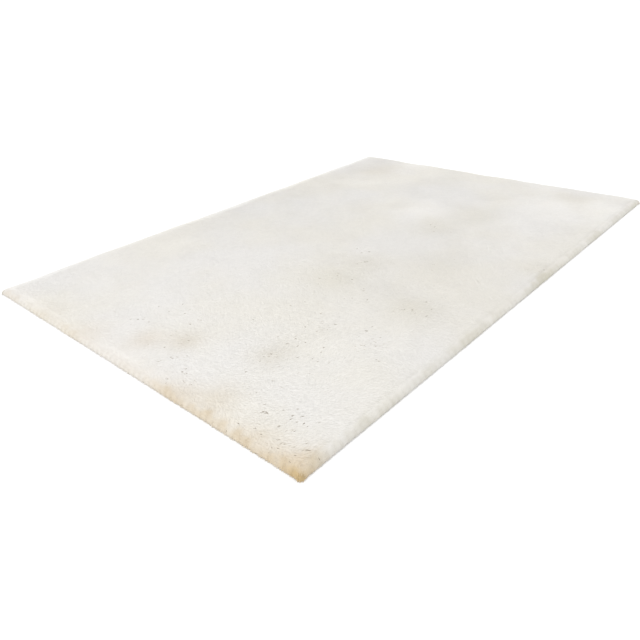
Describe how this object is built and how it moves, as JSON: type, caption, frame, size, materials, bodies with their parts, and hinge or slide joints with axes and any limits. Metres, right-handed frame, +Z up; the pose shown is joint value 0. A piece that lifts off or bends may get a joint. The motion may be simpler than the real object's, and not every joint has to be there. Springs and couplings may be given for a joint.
{
  "type": "shag rug",
  "caption": "Rectangular shag rug with rounded corners: dense, soft cream pile in low lumps, locks hanging over its edges, on a thin flat backing cloth.",
  "frame": {"origin": "middle of the backing cloth's underside, on the floor", "axes": "+X along the rug's length, +Y across it, +Z up through the pile"},
  "size_m": [2.3, 1.5998, 0.0269],
  "materials": {
    "backing_cloth": "plain woven cloth, matt",
    "pile_fibre": "dense fine-haired plush pile, pale cream with tan roots, matt with a soft sheen"
  },
  "bodies": {
    "root": {"backing": "backing_cloth", "pile": "pile_fibre"}
  },
  "joints": []
}
